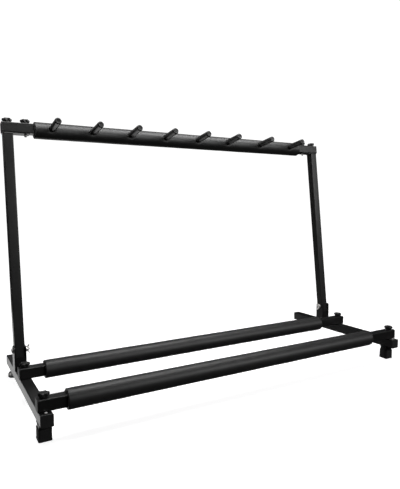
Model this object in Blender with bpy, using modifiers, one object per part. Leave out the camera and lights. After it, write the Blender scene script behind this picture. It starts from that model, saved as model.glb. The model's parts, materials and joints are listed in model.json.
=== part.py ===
"""Folding rack that holds seven guitars side by side.

Two sloping base tubes carry two padded rails for the guitar bodies. An upright
frame with a padded top rail and eight padded pegs leans back against a stop in
two pivot brackets, and folds forward over the base when the wing nuts are loose.
Units are metres, +Z is up, +X is the width and the front faces -Y.
"""
import bmesh
import bpy
from math import atan2, cos, pi, radians, sin, tan
from mathutils import Matrix, Vector

# Overall size
WIDTH = 0.9117              # across the outer faces of the two base tubes
BASE_LENGTH = 0.380         # one base tube, without its end plugs
BASE_TILT = radians(1.4)    # the base rises towards the front
REAR_TOP = 0.0460           # height of the base's top face at its rear end
LEAN = radians(8.4)         # the upright frame leans back from the vertical

# Tube stock
TUBE = 0.0222               # square tube of the base and of the rails
POST = 0.0210               # square tube of the uprights and of the front legs
WALL = 0.0012
CORNER = 0.0018             # outer corner radius of both tubes
GAP = 0.0003                # air between neighbouring pieces

# Places along the base, from its rear end, and up from its top face
REAR_RAIL = 0.18035
FRONT_RAIL = 0.36035
PIVOT_PLACE = 0.11585
PIVOT_HEIGHT = 0.0420
LEG_PLACE = 0.3550
GLIDE_PLACE = 0.0220
PLUG_SCREW_PLACE = 0.3745

# Upright frame, measured from the pivot along the uprights
POST_BELOW = 0.0400         # the uprights reach this far under the pivot
RAIL_SEAT = 0.4743          # underside of the top rail
PLATE_THICK = 0.0015
PLATE_INNER = 0.3985        # inner end of a corner plate, from the middle
SECOND_KNOB = 0.4070        # inner pair of knobs, from the middle

# Foam sleeves
SLEEVE_LENGTH = 0.772
SLEEVE_RADIUS = 0.0191
LOWER_SHIFT = -0.0200       # both lower sleeves sit to the left of the middle
TOP_SHIFT = -0.0025         # and the top one a little
TOP_SAG = 0.0013            # the top one hangs a little low on its rail

# Pegs
PEG_FIRST = -0.3510
PEG_NARROW = 0.0950         # five narrow spaces, for slim bodies
PEG_WIDE = 0.1100           # two wide spaces, for deep bodies
PEG_SPACES = (PEG_NARROW,) * 5 + (PEG_WIDE,) * 2
PEG_RISE = radians(11.0)    # above the horizontal
PEG_REACH = 0.0745          # from the middle of the rail to the tip
PEG_RADIUS = 0.0075
PEG_TIP = 0.0028            # rounding of the tip
ROD_RADIUS = 0.0040
ROD_REACH = 0.0680

# Pivot brackets, bent from sheet
SHEET = 0.0015
FLANGE_PLAY = 0.0004        # between a flange and the upright
FLANGE_TOP = 0.0090         # above the pivot
WEB_DROP = 0.0120           # top of the front web, under the pivot
BRACKET_BEHIND = 0.0115     # behind the pivot

# Fasteners
STUD_RADIUS = 0.0030
HOLE_PLAY = 0.0005
STUD_TIP = 0.0018           # what a lower stud shows past its weld nut
UPPER_TIP = 0.0060          # and an upper one under its plate
NUT_FLATS = 0.0100
NUT_THICK = 0.0050
NUT_OVERLAP = 0.0004        # how far a weld nut sinks into the wall it is welded to
WASHER_RADIUS = 0.0066
WASHER_THICK = 0.0012
WING_HUB_RADIUS = 0.0052
WING_HUB_HEIGHT = 0.0050
WING_RADIUS = 0.0036
WING_STRETCH = 1.30         # a wing is longer than it is high
WING_THICK = 0.0026
WING_OUT = 0.0054           # middle of a wing, from the bolt
WING_UP = 0.0046            # and above the washer
WING_FLARE = 0.50
BOLT_HEAD_RADIUS = 0.0068
BOLT_HEAD_HEIGHT = 0.0034
BOLT_TIP = 0.0025           # what a pivot bolt shows past its wing nut
BOLT_CHAMFER = 0.0006
SCREW_RADIUS = 0.0013
SCREW_HEAD_RADIUS = 0.0027
SCREW_HEAD_HEIGHT = 0.0016
SCREW_LENGTH = 0.0080

# Knobs
KNOB_LOBES = 6
LOBE_POINTS = 6             # corners of the outline for each lobe
KNOB_OVERLAP = 0.0010       # how far hub and stud sink into the head
KNOB_RADIUS = 0.0096        # mean radius of the lobed head
KNOB_LOBE = 0.0010          # how far a lobe stands out from the mean
KNOB_HUB_FOOT = 0.0080      # the hub widens from this radius on the rail
KNOB_HUB_RADIUS = 0.0084    # to this one under the head
KNOB_HUB_HEIGHT = 0.0040
KNOB_HEIGHT = 0.0098

# End plugs and feet
PLUG_HEAD = 0.00175
PLUG_OVER = 0.0004          # the head stands proud of the tube all round
BASE_PLUG_SHANK = 0.0120
RAIL_PLUG_SHANK = 0.0060    # stops short of the stud behind it
PLUG_FIT = 0.00035
CAP_SIDE = 0.0242
CAP_HEIGHT = 0.0230
CAP_WALL = 0.0012
GLIDE_RADIUS = 0.0120
GLIDE_PAD = 0.0030
GLIDE_DOME_TOP = 0.0140
GLIDE_STEM = 0.0040
GLIDE_STEM_TIP = 0.0040     # what the stem shows inside the tube

SIDE_X = (WIDTH - TUBE) / 2
SIDES = (("left", -1), ("right", 1))
BASE_WHOLE = BASE_LENGTH + 2 * PLUG_HEAD
REAR_Y = (BASE_WHOLE * cos(BASE_TILT) + TUBE * sin(BASE_TILT)) / 2
BRACKET_WIDTH = POST + 2 * (FLANGE_PLAY + SHEET)
ALONG_X = Matrix.Rotation(pi / 2, 4, "Y")
ALONG_Y = Matrix.Rotation(pi / 2, 4, "X")
ALONG_Z = Matrix.Identity(4)

# Finish: colour, roughness, metallic
FINISHES = {
    "powder_coat": ((0.030, 0.030, 0.031), 0.42, 0.0),
    "foam": ((0.012, 0.012, 0.013), 0.85, 0.0),
    "rubber": ((0.010, 0.010, 0.010), 0.75, 0.0),
    "plastic": ((0.012, 0.012, 0.013), 0.45, 0.0),
    "zinc": ((0.600, 0.600, 0.590), 0.30, 1.0),
}


# ---------------------------------------------------------------- helpers

def clear_scene():
    for item in list(bpy.data.objects):
        bpy.data.objects.remove(item, do_unlink=True)


def new_collection(name):
    group = bpy.data.collections.new(name)
    bpy.context.scene.collection.children.link(group)
    return group


def new_empty(name, location, tilt):
    """An empty whose local Z leans back by tilt."""
    empty = bpy.data.objects.new(name, None)
    empty.location = location
    empty.rotation_euler = (-tilt, 0, 0)
    empty.empty_display_size = 0.03
    PARTS.objects.link(empty)
    return empty


def mesh_from(name, bm):
    """Turn a bmesh into a mesh with its faces pointing out."""
    bmesh.ops.recalc_face_normals(bm, faces=bm.faces)
    mesh = bpy.data.meshes.new(name)
    bm.to_mesh(mesh)
    bm.free()
    return mesh


def add_part(name, mesh, finish, parent=None, location=(0, 0, 0), rotation=(0, 0, 0)):
    colour, roughness, metallic = FINISHES[finish]
    material = bpy.data.materials.new(name + "_" + finish)
    material.use_nodes = True
    shader = material.node_tree.nodes["Principled BSDF"]
    shader.inputs["Base Color"].default_value = (*colour, 1.0)
    shader.inputs["Roughness"].default_value = roughness
    shader.inputs["Metallic"].default_value = metallic
    part = bpy.data.objects.new(name, mesh)
    part.location = location
    part.rotation_euler = rotation
    part.parent = parent
    if mesh.materials:
        part.material_slots[0].link = "OBJECT"
    else:
        mesh.materials.append(material)
    part.material_slots[0].material = material
    PARTS.objects.link(part)
    return part


def add_cutter(name, mesh, parent=None, location=(0, 0, 0), rotation=(0, 0, 0)):
    cutter = bpy.data.objects.new(name, mesh)
    cutter.location = location
    cutter.rotation_euler = rotation
    cutter.parent = parent
    cutter.hide_render = True
    cutter.display_type = "WIRE"
    CUTTERS.objects.link(cutter)
    return cutter


def boolean(part, cutter, operation="DIFFERENCE"):
    modifier = part.modifiers.new(cutter.name, "BOOLEAN")
    modifier.operation = operation
    modifier.solver = "EXACT"
    modifier.object = cutter


def baked(name, part):
    """The evaluated mesh of an object that is only a stage in making a shape."""
    bpy.context.view_layer.update()
    graph = bpy.context.evaluated_depsgraph_get()
    mesh = bpy.data.meshes.new_from_object(part.evaluated_get(graph))
    mesh.name = name
    mesh.materials.clear()
    bpy.data.objects.remove(part, do_unlink=True)
    bm = bmesh.new()
    bm.from_mesh(mesh)
    bmesh.ops.recalc_face_normals(bm, faces=bm.faces)
    bm.to_mesh(mesh)
    bm.free()
    return mesh


def smooth(mesh):
    mesh.shade_smooth()
    mesh.set_sharp_from_angle(angle=radians(35))


def box_mesh(name, size, centre=(0, 0, 0)):
    bm = bmesh.new()
    bmesh.ops.create_cube(bm, size=1.0)
    bmesh.ops.scale(bm, vec=size, verts=bm.verts)
    bmesh.ops.translate(bm, vec=centre, verts=bm.verts)
    return mesh_from(name, bm)


def rods_mesh(name, radius, length, places, turn, segments=16):
    """Solid cylinders, one at each place, all turned the same way."""
    bm = bmesh.new()
    for place in places:
        bmesh.ops.create_cone(bm, cap_ends=True, segments=segments, radius1=radius,
                              radius2=radius, depth=length,
                              matrix=Matrix.Translation(place) @ turn)
    mesh = mesh_from(name, bm)
    smooth(mesh)
    return mesh


def turned_mesh(name, profile, steps=20):
    """A shape turned about Z from (radius, height) points, listed from the top down."""
    closed = profile[0][0] > 0
    bm = bmesh.new()
    points = [bm.verts.new((radius, 0, height)) for radius, height in profile]
    for first, second in zip(points, points[1:]):
        bm.edges.new((first, second))
    if closed:
        bm.edges.new((points[-1], points[0]))
    mesh = bpy.data.meshes.new(name + "_profile")
    bm.to_mesh(mesh)
    bm.free()
    shape = add_cutter(name + "_shape", mesh)
    screw = shape.modifiers.new("turn", "SCREW")
    screw.steps = steps
    screw.render_steps = steps
    screw.use_merge_vertices = True
    screw.merge_threshold = 0.00001
    result = baked(name, shape)
    smooth(result)
    return result


def arc(centre, radius, start, end, count):
    """Points of a round stretch of a profile, angles in degrees."""
    turns = [radians(start + (end - start) * k / (count - 1)) for k in range(count)]
    return [(centre[0] + radius * cos(t), centre[1] + radius * sin(t)) for t in turns]


def add_tube(name, side, length, turn, parent, location):
    """Square tube with rounded corners, open at both ends, centred on its location."""
    bm = bmesh.new()
    bmesh.ops.create_cube(bm, size=1.0)
    bmesh.ops.scale(bm, vec=(side, side, length), verts=bm.verts)
    ends = [face for face in bm.faces if abs(face.normal.z) > 0.5]
    bmesh.ops.delete(bm, geom=ends, context="FACES_ONLY")
    bmesh.ops.transform(bm, matrix=turn, verts=bm.verts)
    mesh = bpy.data.meshes.new(name)
    bm.to_mesh(mesh)
    bm.free()
    tube = add_part(name, mesh, "powder_coat", parent, location)
    corners = tube.modifiers.new("corners", "BEVEL")
    corners.width = CORNER
    corners.segments = 2
    corners.limit_method = "ANGLE"
    wall = tube.modifiers.new("wall", "SOLIDIFY")
    wall.thickness = WALL
    wall.offset = -1
    wall.use_even_offset = True
    return tube


def plug_mesh(name, shank_length):
    """End plug along Z: the head spans 0 to PLUG_HEAD, the shank goes down."""
    head = TUBE + 2 * PLUG_OVER
    shank = TUBE - 2 * (WALL + PLUG_FIT)
    bm = bmesh.new()
    bmesh.ops.create_cube(bm, size=1.0)
    bmesh.ops.scale(bm, vec=(head, head, PLUG_HEAD - GAP), verts=bm.verts)
    bmesh.ops.translate(bm, vec=(0, 0, (PLUG_HEAD + GAP) / 2), verts=bm.verts)
    under = [face for face in bm.faces if face.normal.z < -0.5]
    bmesh.ops.inset_individual(bm, faces=under, thickness=(head - shank) / 2,
                               use_even_offset=True)
    grown = bmesh.ops.extrude_discrete_faces(bm, faces=under)["faces"]
    bmesh.ops.translate(bm, vec=(0, 0, -shank_length), verts=list(grown[0].verts))
    return mesh_from(name, bm)


# ---------------------------------------------------------------- base

def base_tubes():
    """Two sloping side tubes with weld nuts inside for the studs of the lower knobs."""
    middle = -(PLUG_HEAD + BASE_LENGTH / 2)
    nut_height = -(WALL - NUT_OVERLAP + NUT_THICK / 2)
    rails = [(0, -place, nut_height) for place in (REAR_RAIL, FRONT_RAIL)]
    nuts = rods_mesh("weld_nuts", NUT_FLATS / 2 / cos(pi / 6), NUT_THICK, rails, ALONG_Z, 6)
    stud_holes = rods_mesh("stud_hole", STUD_RADIUS + HOLE_PLAY, 1.4 * TUBE, rails, ALONG_Z)
    stem_hole = rods_mesh("stem_hole", GLIDE_STEM + GAP, 0.5 * TUBE, [(0, 0, 0)], ALONG_Z)
    screw_hole = rods_mesh("screw_hole", SCREW_RADIUS + GAP, 0.5 * TUBE, [(0, 0, 0)], ALONG_Z)
    for side, sign in SIDES:
        x = sign * SIDE_X
        tube = add_tube("base_tube_" + side, TUBE, BASE_LENGTH, ALONG_Y, SLOPE,
                        (x, middle, -TUBE / 2))
        boolean(tube, add_cutter("weld_nuts_" + side, nuts, SLOPE, (x, 0, 0)), "UNION")
        boolean(tube, add_cutter("stud_holes_" + side, stud_holes, SLOPE, (x, 0, 0)))
        boolean(tube, add_cutter("stem_hole_" + side, stem_hole, SLOPE,
                                 (x, -GLIDE_PLACE, -TUBE), (BASE_TILT, 0, 0)))
        boolean(tube, add_cutter("screw_hole_" + side, screw_hole, SLOPE,
                                 (x, -PLUG_SCREW_PLACE, 0)))


def base_plugs():
    """Plugs in both ends of each base tube; the front ones are held by a screw."""
    mesh = plug_mesh("base_plug", BASE_PLUG_SHANK)
    front_mesh = plug_mesh("base_front_plug", BASE_PLUG_SHANK)
    front_end = PLUG_HEAD + BASE_LENGTH
    screw_hole = rods_mesh("plug_screw_hole", SCREW_RADIUS + GAP, TUBE, [(0, 0, 0)], ALONG_Z)
    for side, sign in SIDES:
        x = sign * SIDE_X
        add_part("base_rear_plug_" + side, mesh, "plastic", SLOPE,
                 (x, -PLUG_HEAD, -TUBE / 2), (-pi / 2, 0, 0))
        front = add_part("base_front_plug_" + side, front_mesh.copy(), "plastic", SLOPE,
                         (x, -front_end, -TUBE / 2), (pi / 2, 0, 0))
        boolean(front, add_cutter("plug_screw_hole_" + side, screw_hole, SLOPE,
                                  (x, -PLUG_SCREW_PLACE, 0)))


def plug_screws():
    """Small pan-head screws through the base tubes into the front plugs."""
    round_top = [(SCREW_HEAD_RADIUS * cos(t), GAP + SCREW_HEAD_HEIGHT * sin(t))
                 for t in (pi / 2, pi / 3, pi / 6, 0)]
    profile = [(0, round_top[0][1])] + round_top[1:]
    profile += [(SCREW_RADIUS, GAP), (SCREW_RADIUS, -SCREW_LENGTH), (0, -SCREW_LENGTH)]
    screw = turned_mesh("plug_screw", profile, 12)
    for side, sign in SIDES:
        add_part("plug_screw_" + side, screw, "zinc", SLOPE,
                 (sign * SIDE_X, -PLUG_SCREW_PLACE, 0))


def front_legs():
    """Short upright legs under the front of the base, each in a rubber cap."""
    foot = CAP_WALL + GAP
    for side, sign in SIDES:
        top = SLOPE_MATRIX @ Vector((sign * SIDE_X, -LEG_PLACE, -TUBE - GAP))
        length = top.z - foot
        leg = add_tube("front_leg_" + side, POST, length, ALONG_Z, None,
                       (top.x, top.y, foot + length / 2))
        for corner in leg.data.vertices:
            if corner.co.z > 0:
                corner.co.z -= corner.co.y * tan(BASE_TILT)
        cap = bmesh.new()
        bmesh.ops.create_cube(cap, size=1.0)
        bmesh.ops.scale(cap, vec=(CAP_SIDE, CAP_SIDE, CAP_HEIGHT), verts=cap.verts)
        lid = [face for face in cap.faces if face.normal.z > 0.5]
        bmesh.ops.delete(cap, geom=lid, context="FACES_ONLY")
        mesh = bpy.data.meshes.new("leg_cap_" + side)
        cap.to_mesh(mesh)
        cap.free()
        part = add_part("leg_cap_" + side, mesh, "rubber", None,
                        (top.x, top.y, CAP_HEIGHT / 2))
        wall = part.modifiers.new("wall", "SOLIDIFY")
        wall.thickness = CAP_WALL
        wall.offset = -1
        wall.use_even_offset = True


def rear_glides():
    """Domed steel glides on a stem under the rear of the base, each on a rubber pad."""
    under = SLOPE_MATRIX @ Vector((0, -GLIDE_PLACE, -TUBE))
    low = GLIDE_PAD + GAP
    rise = GLIDE_DOME_TOP - low
    stem_top = under.z + WALL + GLIDE_STEM_TIP
    dome = [(GLIDE_RADIUS * cos(t), low + rise * sin(t))
            for t in (radians(k) for k in (60, 45, 30, 15, 0))]
    profile = [(0, stem_top), (GLIDE_STEM, stem_top), (GLIDE_STEM, dome[0][1])]
    profile += dome + [(0, low)]
    glide = turned_mesh("rear_glide", profile, 24)
    pad = rods_mesh("glide_pad", GLIDE_RADIUS - GAP, GLIDE_PAD,
                    [(0, 0, GLIDE_PAD / 2)], ALONG_Z, 24)
    for side, sign in SIDES:
        place = (sign * SIDE_X, under.y, 0)
        add_part("rear_glide_" + side, glide, "zinc", None, place)
        add_part("glide_pad_" + side, pad, "rubber", None, place)


def rail(name, parent, location, stud_places):
    """A square rail along X with a hole through it for each stud."""
    part = add_tube(name, TUBE, WIDTH, ALONG_X, parent, location)
    places = [(x, 0, 0) for x in stud_places]
    holes = rods_mesh(name + "_stud_holes", STUD_RADIUS + HOLE_PLAY, 2 * TUBE, places, ALONG_Z)
    boolean(part, add_cutter(name + "_stud_holes", holes, parent, location))
    plug = plug_mesh(name + "_plug", RAIL_PLUG_SHANK)
    for side, sign in SIDES:
        end = (sign * WIDTH / 2, location[1], location[2])
        add_part(name + "_plug_" + side, plug, "plastic", parent, end, (0, sign * pi / 2, 0))
    return part


def sleeve(name, parent, location, sag=0.0):
    """Foam sleeve along X, bored square to fit over the rail."""
    round_mesh = rods_mesh(name, SLEEVE_RADIUS, SLEEVE_LENGTH, [(0, 0, -sag)], ALONG_X, 32)
    part = add_part(name, round_mesh, "foam", parent, location)
    bore = TUBE + 2 * GAP
    square = box_mesh(name + "_bore", (1.1 * SLEEVE_LENGTH, bore, bore))
    boolean(part, add_cutter(name + "_bore", square, parent, location))
    return part


def lower_rails():
    outer = (-SIDE_X, SIDE_X)
    height = TUBE / 2 + GAP
    for name, place in (("front_rail", FRONT_RAIL), ("rear_rail", REAR_RAIL)):
        rail(name, SLOPE, (0, -place, height), outer)
        sleeve(name.replace("rail", "foam"), SLOPE, (LOWER_SHIFT, -place, height))


def pivot_brackets():
    """Channels that are open to the rear, welded on the base tubes.

    The front web is the stop that the lower ends of the uprights lean on.
    """
    relative = LEAN - BASE_TILT
    web_inner = POST_BELOW * sin(relative) + POST / 2 * cos(relative) + GAP
    front = web_inner + SHEET
    depth = front + BRACKET_BEHIND
    height = PIVOT_HEIGHT + FLANGE_TOP - GAP
    middle = -PIVOT_PLACE - (front - BRACKET_BEHIND) / 2
    notch_low = PIVOT_HEIGHT - WEB_DROP
    notch = box_mesh("web_notch", (POST + 2 * FLANGE_PLAY, depth, 2 * height), (0, 0, height))
    holes = rods_mesh("bolt_hole", STUD_RADIUS + FLANGE_PLAY, 2 * BRACKET_WIDTH,
                      [(0, 0, 0)], ALONG_X)
    for side, sign in SIDES:
        x = sign * SIDE_X
        bm = bmesh.new()
        bmesh.ops.create_cube(bm, size=1.0)
        bmesh.ops.scale(bm, vec=(BRACKET_WIDTH, depth, height), verts=bm.verts)
        open_sides = [face for face in bm.faces
                      if abs(face.normal.z) > 0.5 or face.normal.y > 0.5]
        bmesh.ops.delete(bm, geom=open_sides, context="FACES_ONLY")
        mesh = bpy.data.meshes.new("pivot_bracket_" + side)
        bm.to_mesh(mesh)
        bm.free()
        part = add_part("pivot_bracket_" + side, mesh, "powder_coat", SLOPE,
                        (x, middle, GAP + height / 2))
        sheet = part.modifiers.new("sheet", "SOLIDIFY")
        sheet.thickness = SHEET
        sheet.offset = -1
        sheet.use_even_offset = True
        boolean(part, add_cutter("web_notch_" + side, notch, SLOPE, (x, middle, notch_low)))
        boolean(part, add_cutter("bolt_hole_" + side, holes, SLOPE,
                                 (x, -PIVOT_PLACE, PIVOT_HEIGHT)))


def pivot_hardware():
    """Domed bolts through the brackets and uprights, with washers and wing nuts."""
    washer_at = BRACKET_WIDTH + 2 * GAP
    nut_at = washer_at + WASHER_THICK + GAP
    length = nut_at + WING_HUB_HEIGHT + BOLT_TIP
    dome = [(BOLT_HEAD_RADIUS * cos(t), -BOLT_HEAD_HEIGHT * sin(t))
            for t in (radians(k) for k in (0, 25, 50, 70))]
    profile = [(0, length), (STUD_RADIUS - BOLT_CHAMFER, length),
               (STUD_RADIUS, length - BOLT_CHAMFER)]
    profile += [(STUD_RADIUS, 0)] + dome + [(0, -BOLT_HEAD_HEIGHT)]
    bolt = turned_mesh("pivot_bolt", profile)
    ring = ring_profile(STUD_RADIUS + GAP, WASHER_RADIUS, washer_at, washer_at + WASHER_THICK)
    washer = turned_mesh("washer", ring)
    nut = wing_nut_mesh()
    for side, sign in SIDES:
        x = sign * (SIDE_X + BRACKET_WIDTH / 2 + GAP)
        inward = (0, -sign * pi / 2, 0)
        place = (x, -PIVOT_PLACE, PIVOT_HEIGHT)
        add_part("pivot_bolt_" + side, bolt, "zinc", SLOPE, place, inward)
        add_part("pivot_washer_" + side, washer, "zinc", SLOPE, place, inward)
        nut_place = (x - sign * nut_at, -PIVOT_PLACE, PIVOT_HEIGHT)
        add_part("wing_nut_" + side, nut, "zinc", SLOPE, nut_place, inward)


def ring_profile(inner, outer, low, high):
    return [(outer, high), (outer, low), (inner, low), (inner, high)]


def wing_nut_mesh():
    """Hub with two wings that flare away from the washer, bored along Z."""
    hub = rods_mesh("hub", WING_HUB_RADIUS, WING_HUB_HEIGHT,
                    [(0, 0, WING_HUB_HEIGHT / 2)], ALONG_Z)
    stage = add_cutter("wing_nut_stage", hub)
    used = []
    for sign in (-1, 1):
        bm = bmesh.new()
        bmesh.ops.create_cone(bm, cap_ends=True, segments=14, radius1=WING_RADIUS,
                              radius2=WING_RADIUS, depth=WING_THICK, matrix=ALONG_Y)
        bmesh.ops.scale(bm, vec=(WING_STRETCH, 1, 1), verts=bm.verts)
        wing = add_cutter("wing", mesh_from("wing", bm), None,
                          (sign * WING_OUT, 0, WING_UP), (0, -sign * WING_FLARE, 0))
        boolean(stage, wing, "UNION")
        used.append(wing)
    bore = rods_mesh("nut_bore", STUD_RADIUS + GAP, 4 * WING_HUB_HEIGHT, [(0, 0, 0)], ALONG_Z)
    used.append(add_cutter("nut_bore", bore))
    boolean(stage, used[-1])
    result = baked("wing_nut", stage)
    for item in used:
        bpy.data.objects.remove(item, do_unlink=True)
    smooth(result)
    return result


# ---------------------------------------------------------------- upright frame

def uprights():
    """Two square posts, open at both ends, bored for the pivot bolts."""
    top = RAIL_SEAT - PLATE_THICK - 2 * GAP
    length = top + POST_BELOW
    holes = rods_mesh("post_hole", STUD_RADIUS + FLANGE_PLAY, 2 * POST, [(0, 0, 0)], ALONG_X)
    for side, sign in SIDES:
        x = sign * SIDE_X
        post = add_tube("upright_" + side, POST, length, ALONG_Z, PIVOT,
                        (x, 0, top - length / 2))
        boolean(post, add_cutter("post_hole_" + side, holes, PIVOT, (x, 0, 0)))


def corner_plates():
    """Flat plates welded on the uprights, tapped for the two knobs above them."""
    outer = SIDE_X + POST / 2
    size = (outer - PLATE_INNER, POST, PLATE_THICK)
    height = RAIL_SEAT - GAP - PLATE_THICK / 2
    mesh = box_mesh("corner_plate", size)
    tapped = rods_mesh("tapped_hole", STUD_RADIUS + GAP, 4 * PLATE_THICK, [(0, 0, 0)], ALONG_Z)
    for side, sign in SIDES:
        x = sign * (outer + PLATE_INNER) / 2
        plate = add_part("corner_plate_" + side, mesh.copy(), "powder_coat", PIVOT,
                         (x, 0, height))
        for row, place in (("outer", SIDE_X), ("inner", SECOND_KNOB)):
            boolean(plate, add_cutter("tapped_" + row + "_" + side, tapped, PIVOT,
                                      (sign * place, 0, height)))


def peg_places():
    """X of each peg, from left to right."""
    places = [PEG_FIRST]
    for space in PEG_SPACES:
        places.append(places[-1] + space)
    return places


def top_rail():
    """Rail with eight steel rods welded through it, and the foam on the rail and rods."""
    middle = RAIL_SEAT + TUBE / 2
    studs = (-SIDE_X, -SECOND_KNOB, SECOND_KNOB, SIDE_X)
    bar = rail("top_rail", PIVOT, (0, 0, middle), studs)
    foam = sleeve("top_foam", PIVOT, (TOP_SHIFT, 0, middle), TOP_SAG)

    # Local direction of the pegs: forward, and a little steeper than the rail's face
    steeper = PEG_RISE - LEAN
    aim = Vector((0, -cos(steeper), sin(steeper)))
    turn = aim.to_track_quat("Z", "Y").to_matrix().to_4x4()
    spots = [Vector((x, 0, 0)) for x in peg_places()]

    weld = -(TUBE - WALL) / 2
    length = ROD_REACH - weld
    rods = rods_mesh("peg_rods", ROD_RADIUS, length,
                     [spot + aim * (weld + length / 2) for spot in spots], turn, 12)
    boolean(bar, add_cutter("peg_rods", rods, PIVOT, (0, 0, middle)), "UNION")
    sleeve_holes = rods_mesh("sleeve_holes", PEG_RADIUS + GAP, 2 * SLEEVE_RADIUS,
                             [spot + aim * SLEEVE_RADIUS for spot in spots], turn)
    boolean(foam, add_cutter("sleeve_holes", sleeve_holes, PIVOT, (0, 0, middle)))

    root = TUBE / 2 + 3 * GAP
    tip = arc((PEG_RADIUS - PEG_TIP, PEG_REACH - PEG_TIP), PEG_TIP, 90, 0, 4)
    bore = ROD_RADIUS + GAP
    profile = [(0, PEG_REACH)] + tip + [(PEG_RADIUS, root), (bore, root)]
    profile += [(bore, ROD_REACH + GAP), (0, ROD_REACH + GAP)]
    cover = turned_mesh("peg_sleeve", profile)
    pitch = atan2(-aim.y, aim.z)
    for number, spot in enumerate(spots, 1):
        add_part("peg_sleeve_%d" % number, cover, "foam", PIVOT, (spot.x, 0, middle),
                 (pitch, 0, 0))


# ---------------------------------------------------------------- knobs

def knob_mesh(name, stud_length):
    """Lobed clamping knob turned about Z, with its steel stud going down."""
    points = LOBE_POINTS * KNOB_LOBES
    rim = [KNOB_RADIUS + KNOB_LOBE * cos(2 * pi * k / LOBE_POINTS) for k in range(points)]
    height = KNOB_HEIGHT - KNOB_HUB_HEIGHT
    bm = bmesh.new()
    ring = [bm.verts.new((r * cos(2 * pi * k / points), r * sin(2 * pi * k / points),
                          KNOB_HUB_HEIGHT)) for k, r in enumerate(rim)]
    floor = bm.faces.new(ring)
    top = bmesh.ops.extrude_face_region(bm, geom=[floor])["geom"]
    risen = [item for item in top if isinstance(item, bmesh.types.BMVert)]
    bmesh.ops.translate(bm, vec=(0, 0, height), verts=risen)
    head = add_cutter("knob_stage", mesh_from("knob_head", bm))
    hub_height = KNOB_HUB_HEIGHT + KNOB_OVERLAP
    cone = bmesh.new()
    bmesh.ops.create_cone(cone, cap_ends=True, segments=24, radius1=KNOB_HUB_FOOT,
                          radius2=KNOB_HUB_RADIUS, depth=hub_height - GAP,
                          matrix=Matrix.Translation((0, 0, (hub_height + GAP) / 2)))
    hub = add_cutter("knob_hub", mesh_from("knob_hub", cone))
    stud_top = KNOB_HUB_HEIGHT + 2 * KNOB_OVERLAP
    stud = add_cutter("knob_stud", rods_mesh("knob_stud", STUD_RADIUS, stud_length + stud_top,
                                             [(0, 0, (stud_top - stud_length) / 2)],
                                             ALONG_Z, 12))
    boolean(head, hub, "UNION")
    boolean(head, stud, "UNION")
    result = baked(name, head)
    for used in (hub, stud):
        bpy.data.objects.remove(used, do_unlink=True)
    smooth(result)
    return result


def knobs():
    """Four knobs hold the lower rails on the base and four hold the top rail."""
    lower_stud = TUBE + 2 * GAP + WALL + NUT_THICK + STUD_TIP
    upper_stud = TUBE + PLATE_THICK + UPPER_TIP
    lower = knob_mesh("lower_knob", lower_stud)
    upper = knob_mesh("upper_knob", upper_stud)
    lower_seat = TUBE + GAP
    upper_seat = RAIL_SEAT + TUBE
    for side, sign in SIDES:
        x = sign * SIDE_X
        add_part("front_knob_" + side, lower, "plastic", SLOPE, (x, -FRONT_RAIL, lower_seat))
        add_part("rear_knob_" + side, lower, "plastic", SLOPE, (x, -REAR_RAIL, lower_seat))
        add_part("top_outer_knob_" + side, upper, "plastic", PIVOT, (x, 0, upper_seat))
        add_part("top_inner_knob_" + side, upper, "plastic", PIVOT,
                 (sign * SECOND_KNOB, 0, upper_seat))


# ---------------------------------------------------------------- assembly

clear_scene()
PARTS = new_collection("guitar_rack")
CUTTERS = new_collection("cutters")
SLOPE = new_empty("base_slope", (0, REAR_Y, REAR_TOP), BASE_TILT)
SLOPE_MATRIX = Matrix.Translation((0, REAR_Y, REAR_TOP)) @ Matrix.Rotation(-BASE_TILT, 4, "X")
PIVOT = new_empty("fold_pivot", SLOPE_MATRIX @ Vector((0, -PIVOT_PLACE, PIVOT_HEIGHT)), LEAN)

base_tubes()
base_plugs()
plug_screws()
front_legs()
rear_glides()
lower_rails()
pivot_brackets()
pivot_hardware()
uprights()
corner_plates()
top_rail()
knobs()
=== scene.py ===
import json
import math
from math import atan2, cos, exp, pi, radians, sin, tan

import bmesh
import bpy
from mathutils import Matrix, Vector, noise

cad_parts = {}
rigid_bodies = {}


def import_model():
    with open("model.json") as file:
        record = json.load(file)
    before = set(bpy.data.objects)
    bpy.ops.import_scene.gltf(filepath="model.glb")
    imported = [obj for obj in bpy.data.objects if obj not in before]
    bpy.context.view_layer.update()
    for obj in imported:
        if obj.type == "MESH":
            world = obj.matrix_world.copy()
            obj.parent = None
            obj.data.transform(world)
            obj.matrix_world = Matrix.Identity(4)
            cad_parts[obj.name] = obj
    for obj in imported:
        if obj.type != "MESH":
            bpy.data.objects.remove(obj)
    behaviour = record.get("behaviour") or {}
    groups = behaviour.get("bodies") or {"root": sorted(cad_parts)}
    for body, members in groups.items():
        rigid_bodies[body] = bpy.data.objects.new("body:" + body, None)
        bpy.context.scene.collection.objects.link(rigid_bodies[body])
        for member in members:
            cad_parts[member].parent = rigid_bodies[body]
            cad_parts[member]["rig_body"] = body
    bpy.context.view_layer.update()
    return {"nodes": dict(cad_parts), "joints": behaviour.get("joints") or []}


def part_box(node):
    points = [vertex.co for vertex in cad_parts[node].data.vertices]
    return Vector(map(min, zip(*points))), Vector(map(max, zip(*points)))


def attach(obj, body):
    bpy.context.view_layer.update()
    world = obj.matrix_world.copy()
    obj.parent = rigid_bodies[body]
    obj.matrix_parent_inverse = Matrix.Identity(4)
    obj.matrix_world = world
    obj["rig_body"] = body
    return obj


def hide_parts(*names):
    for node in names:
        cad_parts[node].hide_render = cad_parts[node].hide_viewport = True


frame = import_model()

NODES = frame["nodes"]
JOINTS = {joint["name"]: joint for joint in frame["joints"]}
SIDES = ("left", "right")

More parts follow.
